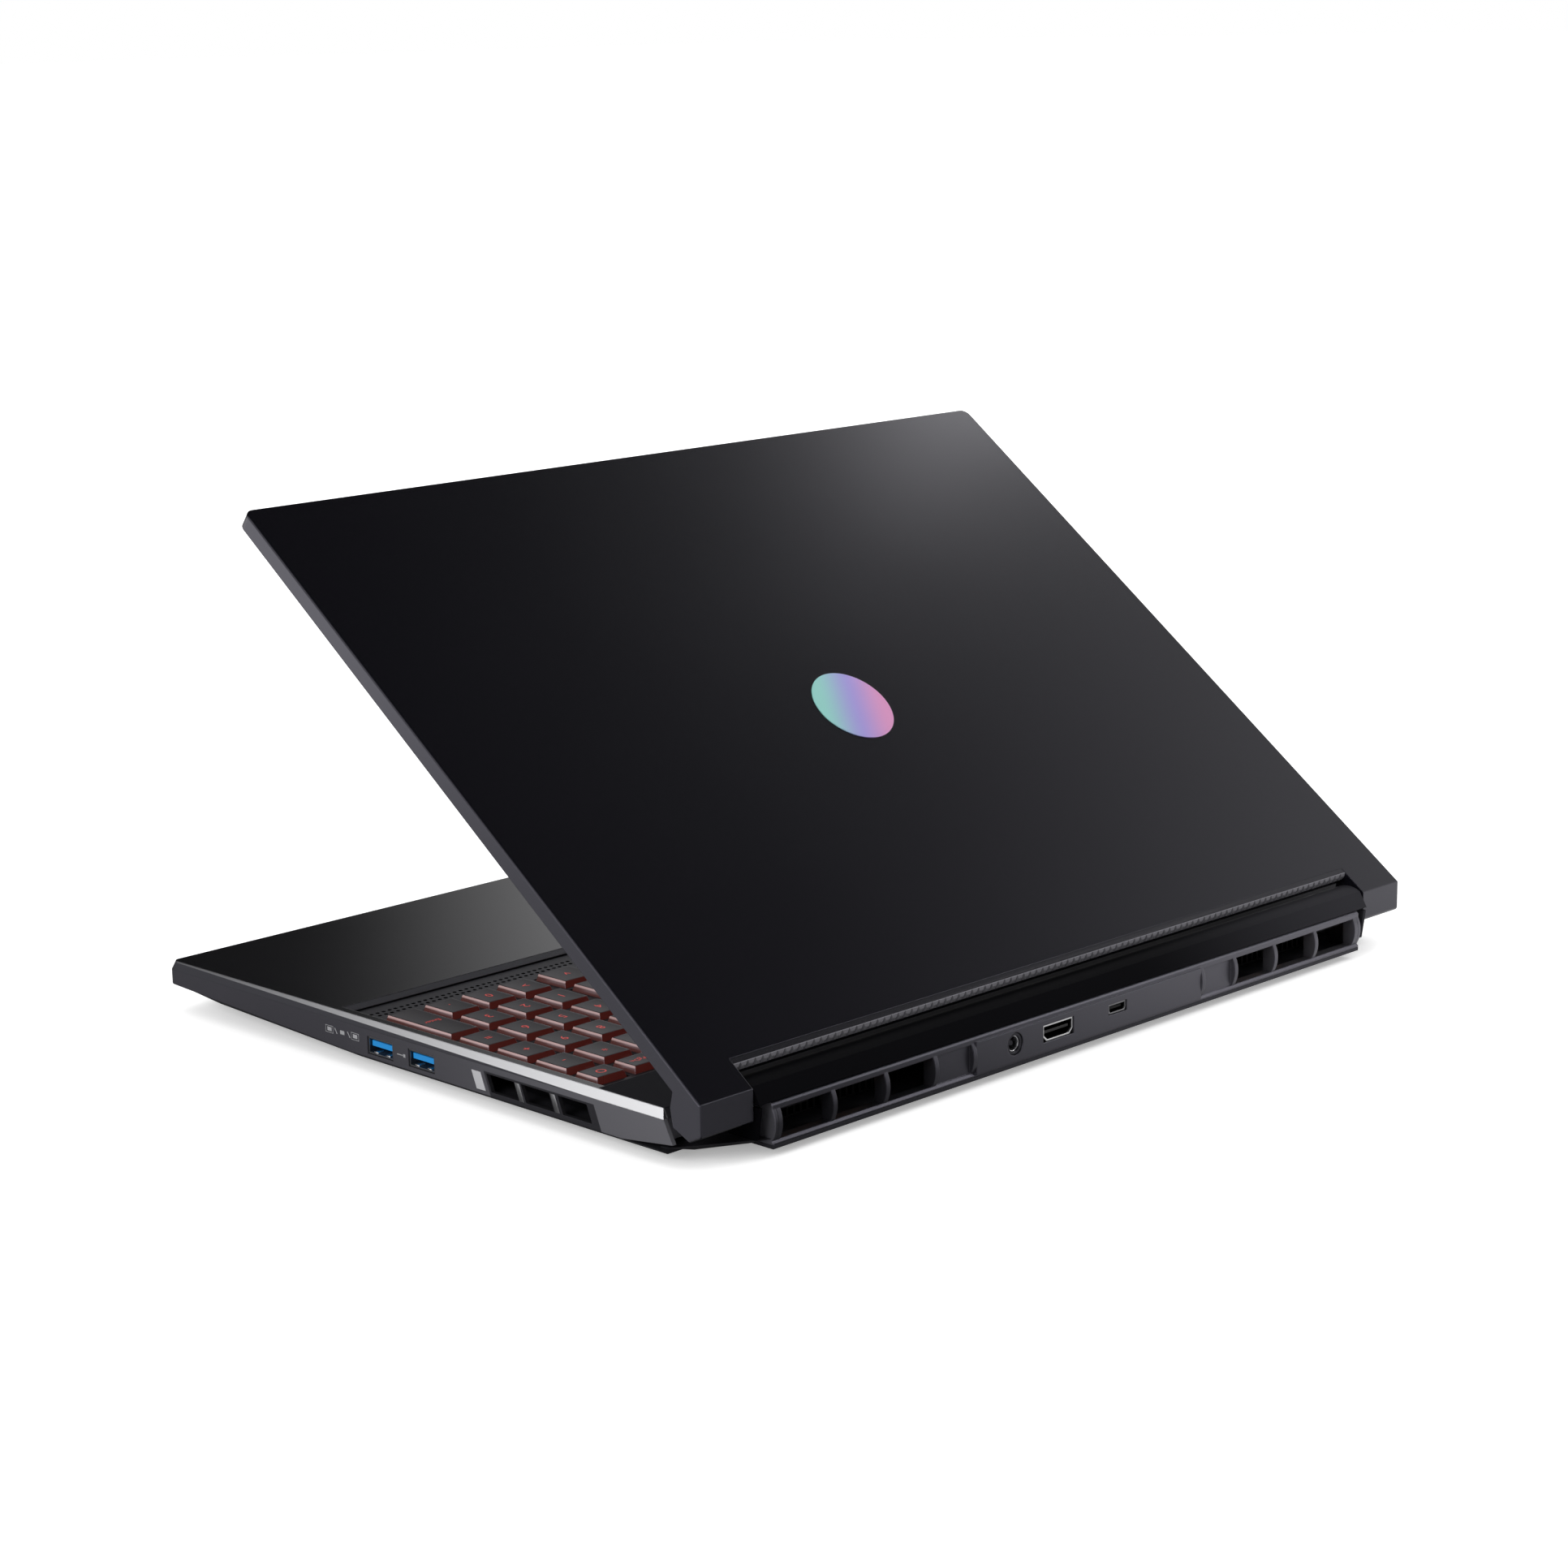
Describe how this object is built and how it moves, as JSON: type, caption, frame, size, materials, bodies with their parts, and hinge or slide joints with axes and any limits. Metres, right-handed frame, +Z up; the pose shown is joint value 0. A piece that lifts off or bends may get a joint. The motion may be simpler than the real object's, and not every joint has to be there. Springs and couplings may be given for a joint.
{
  "type": "laptop computer",
  "caption": "Gaming laptop with a part-open lid on two hinges, backlit keyboard with number pad, side and rear vents with curved ribs, and sockets on three sides.",
  "frame": {"origin": "on the table, under the middle of the base", "axes": "+X to the user's right, +Y to the rear, +Z up"},
  "size_m": [0.3606, 0.28, 0.1855],
  "materials": {
    "lid_satin_black": "satin near-black lid back",
    "trim_grey": "dark grey ridged trim",
    "bezel_black": "fine-grained black bezel",
    "screen_glass": "dark screen, switched off",
    "badge_iridescent": "colour-shifting plain disc",
    "deck_black": "satin dark deck with a pale metal edge",
    "wall_grey": "dark grey metallic side walls",
    "cover_black": "black moulded cover",
    "rear_grey": "grey moulded rear grille",
    "accent_silver": "bright satin accents",
    "key_black": "dark caps with translucent red skirts",
    "touchpad_satin": "smooth touch surface",
    "rubber_black": "rubber",
    "steel": "plain steel",
    "socket_steel": "drawn socket shells",
    "socket_blue": "blue socket tongues",
    "socket_black": "black socket bodies",
    "light_clear": "clear light guides",
    "board_green": "circuit board",
    "chip_dark": "chips and cards",
    "copper": "copper heat pipes and spreader",
    "fin_aluminium": "thin fins",
    "fan_black": "fan plastic",
    "battery_wrap": "wrapped battery cells"
  },
  "bodies": {
    "base": {"top_case": "deck_black", "keyboard_frame": "deck_black", "side_frame": "wall_grey", "bottom_cover": "cover_black", "hinge_cover": "cover_black", "rear_vent_housing": "rear_grey", "vent_accents": "accent_silver", "rubber_feet": "rubber_black", "hinge_bracket_left": "steel", "hinge_bracket_right": "steel", "keyboard_plate": "steel", "touchpad_bracket": "steel", "bottom_screws": "steel", "usb_a_ports": "socket_steel", "hdmi_port": "socket_steel", "usb_c_port": "socket_steel", "usb_a_tongues": "socket_blue", "dc_jack": "socket_black", "ethernet_port": "socket_black", "audio_jack": "socket_black", "card_reader": "socket_black", "speakers": "socket_black", "status_lights": "light_clear", "motherboard": "board_green", "io_boards": "board_green", "processors": "chip_dark", "memory_modules": "chip_dark", "solid_state_drives": "chip_dark", "wireless_card": "chip_dark", "heat_spreader": "copper", "heat_pipes": "copper", "fin_stacks": "fin_aluminium", "fan_housing_left": "fan_black", "fan_housing_right": "fan_black", "battery_pack": "battery_wrap"},
    "lid": {"lid_back_cover": "lid_satin_black", "lid_lower_trim": "trim_grey", "display_bezel": "bezel_black", "display_panel": "screen_glass", "webcam_module": "bezel_black", "lid_badge": "badge_iridescent", "hinge_arm_left": "steel", "hinge_arm_right": "steel", "wifi_antennas": "chip_dark", "bezel_bumpers": "rubber_black"},
    "function_row_keys": {"function_row_keys": "key_black"},
    "number_row_keys": {"number_row_keys": "key_black"},
    "upper_row_keys": {"upper_row_keys": "key_black"},
    "home_row_keys": {"home_row_keys": "key_black"},
    "lower_row_keys": {"lower_row_keys": "key_black"},
    "bottom_row_keys": {"bottom_row_keys": "key_black"},
    "space_bar": {"space_bar": "key_black"},
    "enter_key": {"enter_key": "key_black"},
    "arrow_keys": {"arrow_keys": "key_black"},
    "numpad_keys": {"numpad_keys": "key_black"},
    "numpad_enter_key": {"numpad_enter_key": "key_black"},
    "power_button": {"power_button": "key_black"},
    "touchpad": {"touchpad": "touchpad_satin"},
    "fan_rotor_left": {"fan_rotor_left": "fan_black"},
    "fan_rotor_right": {"fan_rotor_right": "fan_black"}
  },
  "joints": [
    {"name": "lid_hinge", "type": "hinge", "parent": "base", "child": "lid", "pos_m": [0, 0.1305, 0.0151], "axis": [-1, 0, 0], "range_deg": [-37, 103]},
    {"name": "touchpad_click", "type": "hinge", "parent": "base", "child": "touchpad", "pos_m": [-0.038, -0.052, 0.0177], "axis": [1, 0, 0], "range_deg": [0, 0.25], "stiffness_Nm_per_rad": 36, "springref_deg": -0.23},
    {"name": "function_row_keys_press", "type": "slide", "parent": "base", "child": "function_row_keys", "axis": [0, 0, -1], "range_m": [0, 0.0015], "stiffness_N_per_m": 400, "springref_m": -0.001},
    {"name": "number_row_keys_press", "type": "slide", "parent": "base", "child": "number_row_keys", "axis": [0, 0, -1], "range_m": [0, 0.0015], "stiffness_N_per_m": 400, "springref_m": -0.001},
    {"name": "upper_row_keys_press", "type": "slide", "parent": "base", "child": "upper_row_keys", "axis": [0, 0, -1], "range_m": [0, 0.0015], "stiffness_N_per_m": 400, "springref_m": -0.001},
    {"name": "home_row_keys_press", "type": "slide", "parent": "base", "child": "home_row_keys", "axis": [0, 0, -1], "range_m": [0, 0.0015], "stiffness_N_per_m": 400, "springref_m": -0.001},
    {"name": "lower_row_keys_press", "type": "slide", "parent": "base", "child": "lower_row_keys", "axis": [0, 0, -1], "range_m": [0, 0.0015], "stiffness_N_per_m": 400, "springref_m": -0.001},
    {"name": "bottom_row_keys_press", "type": "slide", "parent": "base", "child": "bottom_row_keys", "axis": [0, 0, -1], "range_m": [0, 0.0015], "stiffness_N_per_m": 400, "springref_m": -0.001},
    {"name": "space_bar_press", "type": "slide", "parent": "base", "child": "space_bar", "axis": [0, 0, -1], "range_m": [0, 0.0015], "stiffness_N_per_m": 400, "springref_m": -0.001},
    {"name": "enter_key_press", "type": "slide", "parent": "base", "child": "enter_key", "axis": [0, 0, -1], "range_m": [0, 0.0015], "stiffness_N_per_m": 400, "springref_m": -0.001},
    {"name": "arrow_keys_press", "type": "slide", "parent": "base", "child": "arrow_keys", "axis": [0, 0, -1], "range_m": [0, 0.0015], "stiffness_N_per_m": 400, "springref_m": -0.001},
    {"name": "numpad_keys_press", "type": "slide", "parent": "base", "child": "numpad_keys", "axis": [0, 0, -1], "range_m": [0, 0.0015], "stiffness_N_per_m": 400, "springref_m": -0.001},
    {"name": "numpad_enter_key_press", "type": "slide", "parent": "base", "child": "numpad_enter_key", "axis": [0, 0, -1], "range_m": [0, 0.0015], "stiffness_N_per_m": 400, "springref_m": -0.001},
    {"name": "power_button_press", "type": "slide", "parent": "base", "child": "power_button", "axis": [0, 0, -1], "range_m": [0, 0.0015], "stiffness_N_per_m": 400, "springref_m": -0.001},
    {"name": "fan_spin_left", "type": "hinge", "parent": "base", "child": "fan_rotor_left", "pos_m": [-0.129, 0.076, 0.0085], "axis": [0, 0, 1], "continuous": true},
    {"name": "fan_spin_right", "type": "hinge", "parent": "base", "child": "fan_rotor_right", "pos_m": [0.129, 0.076, 0.0085], "axis": [0, 0, 1], "continuous": true}
  ]
}
